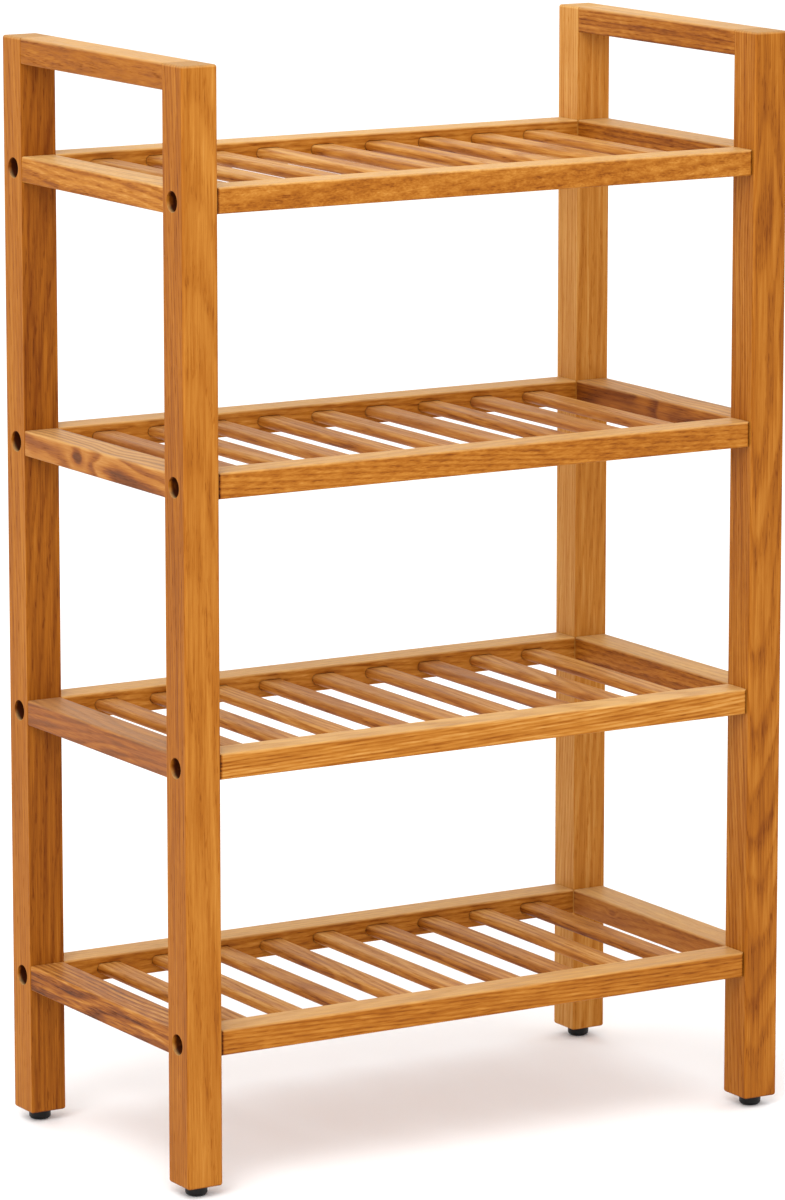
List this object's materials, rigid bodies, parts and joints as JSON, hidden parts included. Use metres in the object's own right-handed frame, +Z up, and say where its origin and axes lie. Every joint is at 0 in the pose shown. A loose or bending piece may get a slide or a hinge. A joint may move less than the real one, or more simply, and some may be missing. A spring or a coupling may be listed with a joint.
{
  "type": "tiered shoe rack",
  "caption": "Free-standing slatted wooden shoe rack: square posts, stacked shelves of flat round-edged slats, a hand-hold rail at each end and small glides underneath.",
  "frame": {"origin": "on the floor, at the middle of the footprint", "axes": "+X along the shelves to the right seen from the front, +Y to the back, +Z up"},
  "size_m": [0.5, 0.265, 0.8],
  "materials": {
    "oak_posts": "oiled, satin, eased edges",
    "oak_rails": "oiled, satin, eased edges",
    "oak_slats": "oiled, satin, edges rounded",
    "black_feet": "moulded, matte",
    "bolt_steel": "dark bronze plate"
  },
  "bodies": {
    "root": {"front_left_post": "oak_posts", "rear_left_post_with_handle_rail": "oak_posts", "front_left_foot": "black_feet", "rear_left_foot": "black_feet", "front_right_post": "oak_posts", "rear_right_post_with_handle_rail": "oak_posts", "front_right_foot": "black_feet", "rear_right_foot": "black_feet", "shelf_1_left_side_rail": "oak_rails", "shelf_1_right_side_rail": "oak_rails", "shelf_1_front_rail_with_bolts": "oak_rails", "shelf_1_rear_rail_with_bolts": "oak_rails", "shelf_1_slat_1": "oak_slats", "shelf_1_slat_2": "oak_slats", "shelf_1_slat_3": "oak_slats", "shelf_1_slat_4": "oak_slats", "shelf_1_slat_5": "oak_slats", "shelf_1_slat_6": "oak_slats", "shelf_1_slat_7": "oak_slats", "shelf_1_slat_8": "oak_slats", "shelf_1_slat_9": "oak_slats", "shelf_2_left_side_rail": "oak_rails", "shelf_2_right_side_rail": "oak_rails", "shelf_2_front_rail_with_bolts": "oak_rails", "shelf_2_rear_rail_with_bolts": "oak_rails", "shelf_2_slat_1": "oak_slats", "shelf_2_slat_2": "oak_slats", "shelf_2_slat_3": "oak_slats", "shelf_2_slat_4": "oak_slats", "shelf_2_slat_5": "oak_slats", "shelf_2_slat_6": "oak_slats", "shelf_2_slat_7": "oak_slats", "shelf_2_slat_8": "oak_slats", "shelf_2_slat_9": "oak_slats", "shelf_3_left_side_rail": "oak_rails", "shelf_3_right_side_rail": "oak_rails", "shelf_3_front_rail_with_bolts": "oak_rails", "shelf_3_rear_rail_with_bolts": "oak_rails", "shelf_3_slat_1": "oak_slats", "shelf_3_slat_2": "oak_slats", "shelf_3_slat_3": "oak_slats", "shelf_3_slat_4": "oak_slats", "shelf_3_slat_5": "oak_slats", "shelf_3_slat_6": "oak_slats", "shelf_3_slat_7": "oak_slats", "shelf_3_slat_8": "oak_slats", "shelf_3_slat_9": "oak_slats", "shelf_4_left_side_rail": "oak_rails", "shelf_4_right_side_rail": "oak_rails", "shelf_4_front_rail_with_bolts": "oak_rails", "shelf_4_rear_rail_with_bolts": "oak_rails", "shelf_4_slat_1": "oak_slats", "shelf_4_slat_2": "oak_slats", "shelf_4_slat_3": "oak_slats", "shelf_4_slat_4": "oak_slats", "shelf_4_slat_5": "oak_slats", "shelf_4_slat_6": "oak_slats", "shelf_4_slat_7": "oak_slats", "shelf_4_slat_8": "oak_slats", "shelf_4_slat_9": "oak_slats"}
  },
  "joints": []
}
